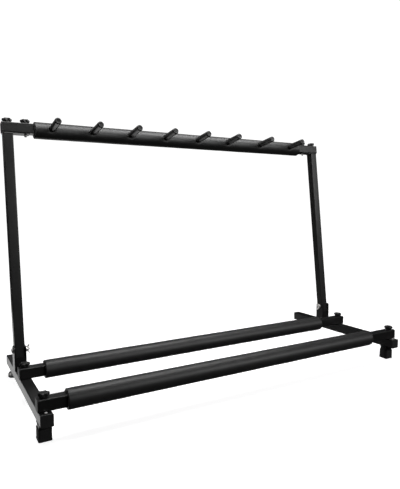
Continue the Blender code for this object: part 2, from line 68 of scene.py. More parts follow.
# Stock sizes, in metres
TUBE = 0.0222               # square tube of the base and the rails
POST = 0.0210               # square tube of the uprights and the front legs
WALL = 0.0012
CORNER = 0.0018             # outer corner radius of the tubes
GAP = 0.0003
SHEET = 0.0015              # steel sheet of the pivot brackets
PLATE = 0.0015              # thickness of the corner plates
STUD = 0.0030               # radius of every threaded stud
PITCH = 0.0010
THREAD = 0.00045            # depth of the thread
STUD_HOLE = STUD + 0.0004   # radius of a hole that a stud passes through
SCREW_HOLE = 0.0016         # radius of the hole for a plug screw
BOLT_HEAD = 0.0034          # height of a pivot bolt's head
WEB_DROP = 0.0120           # top of a bracket's front web, under the pivot
ROD = 0.0040                # radius of the steel rod in a peg
ROD_MIDDLE = 0.0385         # middle of that rod, from the middle of the rail
ROD_LENGTH = 0.0590
PEG_REACH = 0.0745          # tip of a peg, from the middle of the rail
PEG = 0.0075                # radius of a peg sleeve
FOAM = 0.0191               # radius of a foam sleeve
SAG = 0.0013                # the top foam hangs this low on its rail


# ---------------------------------------------------------------- places

def tilt_of(joint):
    """How far a joint's axis leans back from the vertical."""
    axis = JOINTS[joint]["axis"]
    return atan2(axis[1], axis[2])


BASE_TILT = tilt_of("front_knob_left_turn")
LEAN = tilt_of("top_outer_knob_left_turn")
BASE_TURN = Matrix.Rotation(-BASE_TILT, 4, "X")
POST_TURN = Matrix.Rotation(-LEAN, 4, "X")
LEVEL = Matrix.Identity(4)
ALONG_X = Matrix.Rotation(pi / 2, 4, "Y")
ALONG_Y = Matrix.Rotation(pi / 2, 4, "X")


def centre(node):
    low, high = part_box(node)
    return (low + high) / 2


def extent(node):
    low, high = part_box(node)
    return high - low


def at(place, turn=LEVEL, own=LEVEL):
    """Matrix that turns a mesh by own, then by turn, and moves it to place."""
    return Matrix.Translation(place) @ turn @ own


# ---------------------------------------------------------------- mesh helpers

def ring(radius, height, steps, lobes=0, lobe=0.0):
    """Points round Z at a height, with an optional number of lobes."""
    if radius == 0:
        return [(0, 0, height)]
    points = []
    for k in range(steps):
        turn = 2 * pi * k / steps
        reach = radius + lobe * cos(lobes * turn)
        points.append((reach * cos(turn), reach * sin(turn), height))
    return points


def square(side, corner, height, count=5):
    """Points of a square with rounded corners, round Z at a height."""
    points = []
    for quarter, (along_x, along_y) in enumerate(((1, 1), (-1, 1), (-1, -1), (1, -1))):
        for k in range(count):
            turn = pi / 2 * (quarter + k / (count - 1))
            points.append((along_x * (side / 2 - corner) + corner * cos(turn),
                           along_y * (side / 2 - corner) + corner * sin(turn), height))
    return points


def arc(middle, radius, start, end, count):
    """Points of a round stretch of a profile, angles in degrees."""
    turns = [radians(start + (end - start) * k / (count - 1)) for k in range(count)]
    return [(middle[0] + radius * cos(t), middle[1] + radius * sin(t)) for t in turns]


def skin(rings, looped=False):
    """Mesh through rings of points, closed by flat ends, or into a loop."""
    bm = bmesh.new()
    rows = [[bm.verts.new(point) for point in points] for points in rings]
    pairs = list(zip(rows, rows[1:]))
    if looped:
        pairs.append((rows[-1], rows[0]))
    else:
        for row in (rows[0], rows[-1]):
            if len(row) > 2:
                bm.faces.new(row)
    for low, high in pairs:
        count = max(len(low), len(high))
        for k in range(count):
            n = (k + 1) % count
            corners = (low[k % len(low)], low[n % len(low)],
                       high[n % len(high)], high[k % len(high)])
            bm.faces.new(list(dict.fromkeys(corners)))
    return finished(bm)


def finished(bm):
    bmesh.ops.recalc_face_normals(bm, faces=bm.faces)
    mesh = bpy.data.meshes.new("mesh")
    bm.to_mesh(mesh)
    bm.free()
    return mesh


def turned(profile, steps=40, looped=False):
    """Mesh turned about Z from (radius, height) points."""
    return skin([ring(radius, height, steps) for radius, height in profile], looped)


def slab(size, corner, edge):
    """Block with rounded upright corners and softened top and bottom edges."""
    wide, deep, high = size
    count = 5
    rows = []
    for inset, height in ((edge, -high / 2), (0, edge - high / 2),
                          (0, high / 2 - edge), (edge, high / 2)):
        reach = corner - inset
        row = []
        for quarter, (sx, sy) in enumerate(((1, 1), (-1, 1), (-1, -1), (1, -1))):
            for k in range(count):
                turn = pi / 2 * (quarter + k / (count - 1))
                row.append((sx * (wide / 2 - corner) + reach * cos(turn),
                            sy * (deep / 2 - corner) + reach * sin(turn), height))
        rows.append(row)
    return skin(rows)


def moved(mesh, matrix):
    mesh.transform(matrix)
    return mesh


def joined(meshes):
    """One mesh that holds several closed shells."""
    bm = bmesh.new()
    for mesh in meshes:
        bm.from_mesh(mesh)
    result = bpy.data.meshes.new("mesh")
    bm.to_mesh(result)
    bm.free()
    return result


def combined(mesh, other, operation="DIFFERENCE", voxel=0.0, passes=0):
    """Boolean of two meshes, then an optional remesh that rounds the joint."""
    scene = bpy.context.scene.collection
    first = bpy.data.objects.new("first", mesh)
    second = bpy.data.objects.new("second", other)
    scene.objects.link(first)
    scene.objects.link(second)
    step = first.modifiers.new("boolean", "BOOLEAN")
    step.operation = operation
    step.solver = "EXACT"
    step.use_self = True
    step.object = second
    if voxel:
        remesh = first.modifiers.new("remesh", "REMESH")
        remesh.mode = "VOXEL"
        remesh.voxel_size = voxel
        soften = first.modifiers.new("soften", "SMOOTH")
        soften.factor = 0.5
        soften.iterations = passes
    bpy.context.view_layer.update()
    graph = bpy.context.evaluated_depsgraph_get()
    result = bpy.data.meshes.new_from_object(first.evaluated_get(graph))
    bpy.data.objects.remove(first)
    bpy.data.objects.remove(second)
    return result


def rods(radius, length, places, turn=LEVEL, steps=28):
    """Separate closed rods, centred on each place."""
    rod = [(0, -length / 2), (radius, -length / 2), (radius, length / 2), (0, length / 2)]
    return joined([moved(turned(rod, steps), Matrix.Translation(place) @ turn)
                   for place in places])


def tube(side, length, top_slant=0.0):
    """Square hollow tube along Z with rounded corners and softened ends."""
    bore = side - 2 * WALL
    edge = 0.00025
    end = length / 2
    outer = [square(side - edge, CORNER, -end), square(side, CORNER, edge - end),
             square(side, CORNER, end - edge), square(side - edge, CORNER, end)]
    inner = [square(bore, CORNER - WALL, end), square(bore, CORNER - WALL, -end)]
    rings = outer + inner
    if top_slant:
        for row in (2, 3, 4):
            rings[row] = [(x, y, z - y * top_slant) for x, y, z in rings[row]]
    return skin(rings, looped=True)


def threaded(rings_before, low, high, steps=24):
    """Rings of a threaded stud from low to high, after the rings given."""
    rows = list(rings_before)
    count = max(2, round((high - low) / (PITCH / 6)))
    for k in range(count + 1):
        height = low + (high - low) * k / count
        fade = min(1.0, (high - height) / PITCH, (height - low) / PITCH + 0.2)
        row = []
        for j in range(steps):
            turn = 2 * pi * j / steps
            phase = (height / PITCH - turn / (2 * pi)) % 1.0
            cut = THREAD * abs(2 * phase - 1) ** 0.8
            reach = STUD - cut - (1 - fade) * 0.0004
            row.append((reach * cos(turn), reach * sin(turn), height))
        rows.append(row)
    rows.append(ring(STUD - 0.0012, high + 0.0002, steps))
    return rows


def bead(path, radius, closed=True, steps=8):
    """Weld bead along a path, with the ripples of the separate puddles."""
    points = [Vector(point) for point in path]
    spread = []
    spacing = 0.0005
    count = len(points) if closed else len(points) - 1
    for k in range(count):
        here, after = points[k], points[(k + 1) % len(points)]
        pieces = max(1, round((after - here).length / spacing))
        spread += [here.lerp(after, j / pieces) for j in range(pieces)]
    if not closed:
        spread.append(points[-1])
    rings = []
    travelled = 0.0
    for k, point in enumerate(spread):
        before = spread[k - 1] if closed or k else spread[0]
        after = spread[(k + 1) % len(spread)] if closed or k + 1 < len(spread) else point
        along = (after - before).normalized()
        side = along.cross(Vector((0, 0, 1)))
        side = side.normalized() if side.length > 0.1 else Vector((1, 0, 0))
        up = side.cross(along)
        travelled += (after - point).length
        fat = radius * (1 + 0.14 * sin(2 * pi * travelled / 0.0019) + 0.10 * noise.noise(point * 900))
        if not closed and k in (0, len(spread) - 1):
            fat *= 0.45
        rings.append([point + (side * cos(2 * pi * j / steps) + up * sin(2 * pi * j / steps)) * fat
                      for j in range(steps)])
    return skin(rings, looped=closed)


# ---------------------------------------------------------------- finishes

def new_material(name, colour, roughness, metallic=0.0):
    """A material with its shader, and a texture coordinate in metres."""
    material = bpy.data.materials.new(name)
    material.use_nodes = True
    nodes = material.node_tree.nodes
    shader = nodes["Principled BSDF"]
    shader.inputs["Base Color"].default_value = (*colour, 1.0)
    shader.inputs["Roughness"].default_value = roughness
    shader.inputs["Metallic"].default_value = metallic
    place = nodes.new("ShaderNodeTexCoord").outputs["Object"]
    return material, shader, place


def noise_of(material, place, scale, detail=3.0, stretch=None):
    nodes, links = material.node_tree.nodes, material.node_tree.links
    if stretch:
        mapping = nodes.new("ShaderNodeMapping")
        mapping.inputs["Scale"].default_value = stretch
        links.new(place, mapping.inputs["Vector"])
        place = mapping.outputs["Vector"]
    texture = nodes.new("ShaderNodeTexNoise")
    texture.inputs["Scale"].default_value = scale
    texture.inputs["Detail"].default_value = detail
    links.new(place, texture.inputs["Vector"])
    return texture.outputs["Fac"]


def ramp(material, value, stops, target):
    """Sends a texture through a ramp of (position, colour) stops to a socket."""
    nodes, links = material.node_tree.nodes, material.node_tree.links
    band = nodes.new("ShaderNodeValToRGB")
    elements = band.color_ramp.elements
    elements[0].position, elements[1].position = stops[0][0], stops[-1][0]
    elements[0].color = (*stops[0][1], 1)
    elements[1].color = (*stops[-1][1], 1)
    for position, colour in stops[1:-1]:
        elements.new(position).color = (*colour, 1)
    links.new(value, band.inputs["Fac"])
    links.new(band.outputs["Color"], target)


def vary(material, value, low, high, target):
    """Maps a texture's middle range to low..high on a socket."""
    nodes, links = material.node_tree.nodes, material.node_tree.links
    span = nodes.new("ShaderNodeMapRange")
    span.inputs["From Min"].default_value = 0.3
    span.inputs["From Max"].default_value = 0.7
    span.inputs["To Min"].default_value = low
    span.inputs["To Max"].default_value = high
    links.new(value, span.inputs["Value"])
    links.new(span.outputs["Result"], target)


def bump(material, shader, layers):
    """Chains bump layers of (height, depth in metres, strength)."""
    nodes, links = material.node_tree.nodes, material.node_tree.links
    previous = None
    for height, depth, strength in layers:
        node = nodes.new("ShaderNodeBump")
        node.inputs["Distance"].default_value = depth
        node.inputs["Strength"].default_value = strength
        links.new(height, node.inputs["Height"])
        if previous:
            links.new(previous, node.inputs["Normal"])
        previous = node.outputs["Normal"]
    links.new(previous, shader.inputs["Normal"])


def grey(value, warm=0.0):
    return (value * (1 + warm), value, value * (1 - warm))


def powder_coat():
    """Satin black powder coat with a fine orange peel."""
    material, shader, place = new_material("powder_coat", grey(0.010), 0.33)
    cloud = noise_of(material, place, 28, 4)
    grain = noise_of(material, place, 2600, 2)
    peel = noise_of(material, place, 620, 2)
    ramp(material, cloud, ((0.3, grey(0.008)), (0.55, grey(0.010)), (0.8, grey(0.013, 0.01))),
         shader.inputs["Base Color"])
    vary(material, grain, 0.28, 0.38, shader.inputs["Roughness"])
    bump(material, shader, ((peel, 0.00006, 0.35), (grain, 0.00002, 0.25)))
    return material


def foam_rubber():
    """Matt closed-cell foam with a fine pored skin."""
    material, shader, place = new_material("foam", grey(0.016), 0.50)
    nodes, links = material.node_tree.nodes, material.node_tree.links
    pores = nodes.new("ShaderNodeTexVoronoi")
    pores.inputs["Scale"].default_value = 1500
    links.new(place, pores.inputs["Vector"])
    cloud = noise_of(material, place, 45, 5)
    skin_grain = noise_of(material, place, 900, 3)
    ramp(material, cloud, ((0.25, grey(0.013)), (0.5, grey(0.016)), (0.8, grey(0.021))),
         shader.inputs["Base Color"])
    vary(material, skin_grain, 0.44, 0.56, shader.inputs["Roughness"])
    shader.inputs["Sheen Weight"].default_value = 0.04
    shader.inputs["Sheen Roughness"].default_value = 0.45
    bump(material, shader, ((skin_grain, 0.00010, 0.5), (pores.outputs["Distance"], 0.00008, 0.4)))
    return material


def sleeve_vinyl():
    """Smooth, slightly glossy skin of the peg sleeves."""
    material, shader, place = new_material("peg_vinyl", grey(0.016), 0.33)
    cloud = noise_of(material, place, 60, 3)
    grain = noise_of(material, place, 1300, 2)
    ramp(material, cloud, ((0.3, grey(0.013)), (0.8, grey(0.021))), shader.inputs["Base Color"])
    vary(material, grain, 0.28, 0.40, shader.inputs["Roughness"])
    bump(material, shader, ((grain, 0.00004, 0.35),))
    return material


def moulded_plastic(name, tone, low, high):
    """Moulded black plastic with an etched surface."""
    material, shader, place = new_material(name, grey(tone), (low + high) / 2)
    cloud = noise_of(material, place, 90, 3)
    etch = noise_of(material, place, 3400, 2)
    ramp(material, cloud, ((0.3, grey(tone * 0.85)), (0.8, grey(tone * 1.3))),
         shader.inputs["Base Color"])
    vary(material, etch, low, high, shader.inputs["Roughness"])
    bump(material, shader, ((etch, 0.00003, 0.4),))
    return material


def black_rubber():
    """Dull rubber, dustier in patches."""
    material, shader, place = new_material("rubber", grey(0.008), 0.72)
    cloud = noise_of(material, place, 120, 5)
    grain = noise_of(material, place, 1800, 3)
    ramp(material, cloud, ((0.35, grey(0.006)), (0.6, grey(0.009)), (0.85, grey(0.015, 0.03))),
         shader.inputs["Base Color"])
    vary(material, grain, 0.62, 0.82, shader.inputs["Roughness"])
    bump(material, shader, ((grain, 0.00006, 0.5),))
    return material


def bright_steel(name, stretch, low, high):
    """Zinc-plated steel with fine turning marks."""
    material, shader, place = new_material(name, (0.80, 0.79, 0.77), (low + high) / 2, 0.55)
    cloud = noise_of(material, place, 350, 4)
    marks = noise_of(material, place, 900, 3, stretch)
    ramp(material, cloud, ((0.3, (0.72, 0.715, 0.70)), (0.55, (0.82, 0.81, 0.79)),
                           (0.8, (0.88, 0.88, 0.88))), shader.inputs["Base Color"])
    vary(material, marks, low, high, shader.inputs["Roughness"])
    bump(material, shader, ((marks, 0.00002, 0.3),))
    return material


COAT = powder_coat()
FOAM_SKIN = foam_rubber()
VINYL = sleeve_vinyl()
KNOB_PLASTIC = moulded_plastic("knob_plastic", 0.013, 0.30, 0.42)
PLUG_PLASTIC = moulded_plastic("plug_plastic", 0.018, 0.42, 0.56)
RUBBER = black_rubber()
ZINC = bright_steel("zinc_steel", (3.0, 1.0, 1.0), 0.24, 0.38)
GLIDE_STEEL = bright_steel("glide_steel", (1.0, 1.0, 4.0), 0.16, 0.28)


def add_piece(name, mesh, material, node, stands_for=True, sharp=38):
    """A finished piece that rides on its node's body, and stands for the node."""
    mesh.name = name
    mesh.materials.clear()
    mesh.materials.append(material)
    mesh.shade_smooth()
    mesh.set_sharp_from_angle(angle=radians(sharp))
    obj = bpy.data.objects.new(name, mesh)
    bpy.context.scene.collection.objects.link(obj)
    even = obj.modifiers.new("even_shading", "WEIGHTED_NORMAL")
    even.keep_sharp = True
    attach(obj, NODES[node]["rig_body"])
    if stands_for:
        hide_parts(node)
    return obj


# ---------------------------------------------------------------- knobs and studs

# Lobed knob: (radius, height, lobe) from the foot of the hub to the middle of the top
KNOB_PROFILE = (
    (0.0077, 0.0003, 0.0), (0.0080, 0.0005, 0.0), (0.0081, 0.0012, 0.0), (0.0083, 0.0024, 0.0001),
    (0.0085, 0.0034, 0.0003), (0.0088, 0.0041, 0.0007), (0.0090, 0.0046, 0.0012),
    (0.0092, 0.0053, 0.0014), (0.0092, 0.0076, 0.0014), (0.0091, 0.0086, 0.0013),
    (0.0088, 0.0092, 0.0011), (0.0083, 0.0096, 0.0008), (0.0076, 0.0098, 0.0004),
    (0.0066, 0.0097, 0.0001), (0.0058, 0.0095, 0.0), (0.0055, 0.0092, 0.0),
    (0.0052, 0.0091, 0.0), (0.0030, 0.0092, 0.0), (0.0, 0.0093, 0.0))
KNOB_LOBES = 6


def knob_mesh():
    rings = [ring(radius, height, 96, KNOB_LOBES, lobe) for radius, height, lobe in KNOB_PROFILE]
    droop = 0.0006
    for row, (radius, height, lobe) in enumerate(KNOB_PROFILE):
        if height > 0.0080 and lobe:
            share = lobe / 0.0014
            rings[row] = [(x, y, z - droop * share * (1 - cos(KNOB_LOBES * atan2(y, x))) / 2)
                          for x, y, z in rings[row]]
    return skin(rings)


def knobs():
    """Lobed knobs, each moulded on a threaded stud that goes down through the tubes."""
    names = [row + "_" + side for side in SIDES
             for row in ("front_knob", "rear_knob", "top_outer_knob", "top_inner_knob")]
    for name in names:
        joint = JOINTS[name + "_turn"]
        turn = POST_TURN if name.startswith("top") else BASE_TURN
        lean = LEAN if name.startswith("top") else BASE_TILT
        seat = Vector(joint["pos_m"])
        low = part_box(name)[0].z
        length = (seat.z - low - STUD * sin(lean)) / cos(lean)
        add_piece(name + "_grip", moved(knob_mesh(), at(seat, turn)), KNOB_PLASTIC, name)
        thread = threaded([ring(STUD - 0.0004, -0.0030, 24)], -0.0028, length - 0.0003)
        down = Matrix.Rotation(pi, 4, "X")
        add_piece(name + "_stud", moved(skin(thread), at(seat, turn, down)), ZINC, name, False)


# ---------------------------------------------------------------- plugs and feet

PLUG_HEAD = 0.00175
PLUG_OVER = 0.0004


def plug_mesh(shank, ribs=3):
    """Moulded end plug along Z, head above zero, with grip ribs round its shank."""
    head = TUBE + 2 * PLUG_OVER
    core = TUBE - 2 * (WALL + 0.00075)
    rib = TUBE - 2 * (WALL + 0.00035)
    rows = [square(core - 0.001, 0.0008, -shank), square(core, 0.001, 0.0005 - shank)]
    for k in range(ribs):
        base = -shank + 0.0012 + k * (shank - 0.002) / ribs
        rows += [square(core, 0.001, base), square(rib, 0.001, base + 0.0003),
                 square(rib, 0.001, base + 0.0006), square(core, 0.001, base + 0.0009)]
    rows += [square(core, 0.001, GAP), square(head - 0.0006, 0.0018, GAP),
             square(head, 0.0020, GAP + 0.0003), square(head, 0.0020, PLUG_HEAD - 0.0008),
             square(head - 0.0003, 0.0020, PLUG_HEAD - 0.0004),
             square(head - 0.0010, 0.0019, PLUG_HEAD - 0.00015),
             square(head - 0.0022, 0.0016, PLUG_HEAD)]
    return skin(rows)


def end_plugs():
    for side, sign in zip(SIDES, (-1, 1)):
        out = Matrix.Rotation(sign * pi / 2, 4, "Y")
        for row, turn in (("front", BASE_TURN), ("rear", BASE_TURN), ("top", POST_TURN)):
            node = row + "_rail_plug_" + side
            low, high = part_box(node)
            face = low.x if sign < 0 else high.x
            place = Vector((face - sign * PLUG_HEAD, centre(node).y, centre(node).z))
            add_piece(node + "_cap", moved(plug_mesh(0.0060, 2), at(place, turn, out)),
                      PLUG_PLASTIC, node)
        length = (extent("base_tube_" + side).y - TUBE * sin(BASE_TILT)) / cos(BASE_TILT)
        middle = centre("base_tube_" + side)
        for row, way in (("rear", 1), ("front", -1)):
            node = "base_" + row + "_plug_" + side
            place = middle + (BASE_TURN @ Vector((0, way * length / 2, 0)))
            own = Matrix.Rotation(-way * pi / 2, 4, "X")
            mesh = moved(plug_mesh(0.0120), at(place, BASE_TURN, own))
            if row == "front":
                hole = at(centre("plug_screw_" + side), BASE_TURN)
                mesh = combined(mesh, moved(rods(SCREW_HOLE, TUBE, [(0, 0, 0)]), hole))
            add_piece(node + "_cap", mesh, PLUG_PLASTIC, node)


def plug_screws():
    """Pan-head screws with a cross recess."""
    for side in SIDES:
        node = "plug_screw_" + side
        low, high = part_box(node)
        spot = centre(node)
        top = high.z
        shank = high.z - low.z - 0.0002
        head = [(0, 0), (0.0009, -0.00002), (0.0017, -0.00018), (0.0022, -0.00048),
                (0.0026, -0.0009), (0.0027, -0.0013), (0.0027, -0.00155), (0.0025, -0.0016)]
        grooves = []
        for k in range(12):
            base = -0.0018 - k * 0.0006
            grooves += [(0.00125, base), (0.00085, base - 0.0003)]
        profile = head + grooves + [(0.0007, -shank + 0.0005), (0, -shank)]
        mesh = turned(profile, 36)
        cross = joined([moved(slab((0.0030, 0.00062, 0.0014), 0.0002, 0.0001),
                              Matrix.Rotation(turn, 4, "Z")) for turn in (0, pi / 2)])
        mesh = combined(mesh, cross)
        add_piece(node + "_head", moved(mesh, at((spot.x, spot.y, top), BASE_TURN)), ZINC, node)


def feet():
    """Front legs in rubber caps, and domed steel glides on rubber pads at the rear."""
    for side in SIDES:
        leg = "front_leg_" + side
        low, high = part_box(leg)
        slant = tan(BASE_TILT)
        top = high.z - POST / 2 * slant
        place = Vector((centre(leg).x, centre(leg).y, (top + low.z) / 2))
        mesh = moved(tube(POST, top - low.z, slant), at(place))
        add_piece(leg + "_steel", mesh, COAT, leg)
        path = [(x, y, z - y * slant) for x, y, z in square(POST + 0.0006, CORNER, 0, 4)]
        weld = moved(bead(path, 0.0009), at((place.x, place.y, top - 0.0002)))
        add_piece(leg + "_weld", weld, COAT, leg, False)
        cap = "leg_cap_" + side
        low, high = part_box(cap)
        side_length = high.x - low.x
        tall = high.z - low.z
        bore = side_length - 0.0024
        rows = [square(bore, 0.0008, 0.0013), square(bore, 0.0010, tall - 0.0004),
                square(bore + 0.0006, 0.0012, tall), square(side_length - 0.0011, 0.0022, tall),
                square(side_length - 0.0003, 0.0025, tall - 0.0004),
                square(side_length - 0.0002, 0.0025, tall - 0.0019),
                square(side_length - 0.0009, 0.0024, tall - 0.0023),
                square(side_length - 0.0008, 0.0024, 0.0034),
                square(side_length, 0.0026, 0.0026), square(side_length, 0.0026, 0.0009),
                square(side_length - 0.0006, 0.0024, 0.0003),
                square(side_length - 0.0016, 0.0022, 0.0)]
        middle = centre(cap)
        add_piece(cap + "_moulding", moved(skin(rows), at((middle.x, middle.y, 0))), RUBBER, cap)
        glide = "rear_glide_" + side
        low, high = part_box(glide)
        middle = centre(glide)
        reach = (high.x - low.x) / 2
        dome = arc((reach - 0.0085, low.z + 0.0002), 0.0085, 78, 0, 10)
        dome = [(radius, low.z + (height - low.z) * 1.22) for radius, height in dome]
        profile = [(0, high.z), (0.0031, high.z), (0.0036, high.z - 0.0005),
                   (0.0036, 0.0170), (0.0042, 0.0160), (0.0062, 0.0160), (0.0066, 0.0156),
                   (0.0066, 0.0140)]
        profile += [point for point in dome if point[1] < 0.0138]
        profile += [(reach - 0.0002, low.z + 0.0001), (reach - 0.0006, low.z), (0, low.z)]
        add_piece(glide + "_dome", moved(turned(profile, 56), at((middle.x, middle.y, 0))),
                  GLIDE_STEEL, glide)
        pad = "glide_pad_" + side
        low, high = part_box(pad)
        reach = (high.x - low.x) / 2
        profile = [(0, high.z), (reach - 0.0004, high.z), (reach, high.z - 0.0004),
                   (reach, 0.0008), (reach - 0.0007, 0.0), (0.0070, 0.0), (0.0066, 0.0004),
                   (0, 0.0004)]
        add_piece(pad + "_disc", moved(turned(profile, 56), at((middle.x, middle.y, 0))),
                  RUBBER, pad)


# ---------------------------------------------------------------- tubes and rails

def base_tubes():
    for side in SIDES:
        node = "base_tube_" + side
        length = (extent(node).y - TUBE * sin(BASE_TILT)) / cos(BASE_TILT)
        place = centre(node)
        mesh = moved(tube(TUBE, length), at(place, BASE_TURN, ALONG_Y))
        spots = [Vector(JOINTS[row + "_knob_" + side + "_turn"]["pos_m"]) for row in ("front", "rear")]
        holes = moved(rods(STUD_HOLE, 0.5 * TUBE, [(0, 0, 0)]), BASE_TURN)
        drop = BASE_TURN @ Vector((0, 0, TUBE + 0.3 * TUBE))
        cutters = [moved(holes.copy(), Matrix.Translation(spot - drop)) for spot in spots]
        screw = moved(rods(SCREW_HOLE, 0.5 * TUBE, [(0, 0, 0)]),
                      at(centre("plug_screw_" + side), BASE_TURN))
        stem = moved(rods(0.0040, 0.010, [(0, 0, 0)]),
                     at((place.x, centre("rear_glide_" + side).y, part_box("rear_glide_" + side)[1].z)))
        mesh = combined(mesh, joined(cutters + [screw, stem]))
        add_piece(node + "_steel", mesh, COAT, node)


def rails():
    """Three cross rails with a hole for each stud, and rods in the top one."""
    for row, turn in (("front", BASE_TURN), ("rear", BASE_TURN), ("top", POST_TURN)):
        node = row + "_rail"
        low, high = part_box(node)
        place = rail_centre(row)
        mesh = moved(tube(TUBE, high.x - low.x), at(place, turn, ALONG_X))
        names = ["top_outer_knob", "top_inner_knob"] if row == "top" else [row + "_knob"]
        cutters = []
        for name in names:
            for side in SIDES:
                spot = Vector(JOINTS[name + "_" + side + "_turn"]["pos_m"])
                cutters.append(moved(rods(STUD_HOLE, 4 * TUBE, [(0, 0, 0)]), at(spot, turn)))
        mesh = combined(mesh, joined(cutters))
        if row == "top":
            aim, roll = peg_aim()
            places = [Vector((x, place.y, place.z)) + aim * ROD_MIDDLE for x in peg_lines()]
            mesh = joined([mesh, rods(ROD, ROD_LENGTH, places, roll)])
        add_piece(node + "_steel", mesh, COAT, node)


def rail_centre(row):
    """Middle of a rail, from its two plugs."""
    left, right = centre(row + "_rail_plug_left"), centre(row + "_rail_plug_right")
    return (left + right) / 2


def peg_lines():
    return [centre("peg_sleeve_%d" % number).x for number in range(1, 9)]


def peg_aim():
    """Direction of the pegs, and the turn that lays Z along it."""
    aim = centre("peg_sleeve_1") - rail_centre("top")
    aim.x = 0
    aim.normalize()
    return aim, Matrix.Rotation(atan2(-aim.y, aim.z), 4, "X")


# ---------------------------------------------------------------- foam

def foam_mesh(length, step, dips, wave, sag, twist):
    """Foam sleeve along Z with a square bore; dips are the heights of the pegs."""
    steps = 72
    bore = TUBE + 2 * GAP
    edge = 0.0017
    end = length / 2
    outline = [(FOAM - edge + edge * cos(t), end - edge + edge * sin(t))
               for t in (radians(k) for k in (75, 55, 35, 15))]
    count = round(2 * (end - edge) / step)
    body = [(FOAM, end - edge - 2 * (end - edge) * k / count) for k in range(count + 1)]
    profile = outline + body + [(radius, -height) for radius, height in reversed(outline)]
    rings = []
    for radius, height in profile:
        row = []
        for j in range(steps):
            turn = 2 * pi * j / steps
            spot = Vector((radius * cos(turn), radius * sin(turn), height + wave))
            lump = 0.00022 * noise.noise(spot * 26) + 0.00009 * noise.noise(spot * 130)
            reach = radius - 0.00028 + lump
            for place in dips:
                gap_z = height - place
                if abs(gap_z) < 0.018:
                    across = FOAM * (turn if turn < pi else turn - 2 * pi)
                    away = math.hypot(gap_z, across) - PEG
                    if away < 0.010:
                        reach -= 0.0010 * exp(-(max(away, 0) / 0.0030) ** 2)
            row.append((reach * cos(turn) + sag[0], reach * sin(turn) + sag[1], height))
        rings.append(row)
    for height in (-end, end):
        row = []
        for j in range(steps):
            turn = 2 * pi * j / steps
            reach = bore / 2 / max(abs(cos(turn - twist)), abs(sin(turn - twist)))
            row.append((reach * cos(turn), reach * sin(turn), height))
        rings.append(row)
    return skin(rings, looped=True)


def foam_sleeves():
    for row, turn in (("front", BASE_TURN), ("rear", BASE_TURN), ("top", POST_TURN)):
        node = row + "_foam"
        low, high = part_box(node)
        place = rail_centre(row)
        place.x = (low.x + high.x) / 2
        on_top = row == "top"
        aim, roll = peg_aim()
        # The mesh runs along Z, and its X axis faces the way the pegs go
        rise = atan2(aim.z, -aim.y) if on_top else BASE_TILT
        lay = Matrix(((0, 0, 1, 0), (-1, 0, 0, 0), (0, -1, 0, 0), (0, 0, 0, 1)))
        own = Matrix.Rotation(-rise, 4, "X") @ lay
        sag = own.inverted() @ turn @ Vector((0, 0, -SAG if on_top else 0))
        twist = rise - LEAN if on_top else 0
        dips = [x - place.x for x in peg_lines()] if on_top else []
        step = 0.0026 if on_top else 0.0040
        wave = {"front": 0.0, "rear": 3.1, "top": 7.7}[row]
        mesh = moved(foam_mesh(high.x - low.x, step, dips, wave, sag, twist), at(place, own))
        if on_top:
            spots = [Vector((x, place.y, place.z)) + aim * FOAM for x in peg_lines()]
            mesh = combined(mesh, rods(PEG + GAP, 0.016, spots, roll, 48))
        sleeve = add_piece(node + "_sleeve", mesh, FOAM_SKIN, node)


def peg_sleeves():
    """Moulded sleeves with a rounded tip and a sunk face."""
    roll = peg_aim()[1]
    middle = rail_centre("top")
    root, tip = TUBE / 2 + 3 * GAP, PEG_REACH
    profile = [(0, 0.0683), (0.0043, 0.0683), (0.0043, root), (PEG - 0.0004, root),
               (PEG - 0.0001, root + 0.0004)]
    profile += [(PEG - 0.00004 * sin(k * 1.3), root + 0.0008 + (tip - 0.0034 - root) * k / 9)
                for k in range(10)]
    profile += arc((PEG - 0.0024, tip - 0.0024), 0.0024, 5, 88, 8)
    profile += [(0.0043, tip), (0.0040, tip - 0.0002), (0.0038, tip - 0.0007),
                (0.0035, tip - 0.0010), (0.0018, tip - 0.00105), (0, tip - 0.00105)]
    for number, x in enumerate(peg_lines(), 1):
        node = "peg_sleeve_%d" % number
        mesh = moved(turned(profile, 48), at((x, middle.y, middle.z), roll))
        add_piece(node + "_skin", mesh, VINYL, node)


# ---------------------------------------------------------------- upright frame

def uprights():
    pivot = Vector(JOINTS["fold"]["pos_m"])
    for side in SIDES:
        node = "upright_" + side
        length = (extent(node).z - POST * sin(LEAN)) / cos(LEAN)
        place = centre(node)
        mesh = moved(tube(POST, length), at(place, POST_TURN))
        hole = moved(rods(STUD_HOLE, 2 * POST, [(0, 0, 0)], ALONG_X),
                     at((place.x, pivot.y, pivot.z)))
        add_piece(node + "_steel", combined(mesh, hole), COAT, node)
        top = place + POST_TURN @ Vector((0, 0, length / 2))
        path = square(POST + 0.0002, CORNER, 0, 4)
        add_piece(node + "_weld", moved(bead(path, 0.0008), at(top, POST_TURN)), COAT, node, False)


def corner_plates():
    """Flat plates under the ends of the top rail."""
    for side in SIDES:
        node = "corner_plate_" + side
        size = extent(node)
        mesh = slab((size.x, POST, PLATE), 0.0022, 0.0003)
        mesh = moved(mesh, at(centre(node), POST_TURN))
        cutters = []
        for name in ("top_outer_knob_", "top_inner_knob_"):
            spot = Vector(JOINTS[name + side + "_turn"]["pos_m"])
            cutters.append(moved(rods(STUD_HOLE, 4 * TUBE, [(0, 0, 0)]), at(spot, POST_TURN)))
        add_piece(node + "_steel", combined(mesh, joined(cutters)), COAT, node)


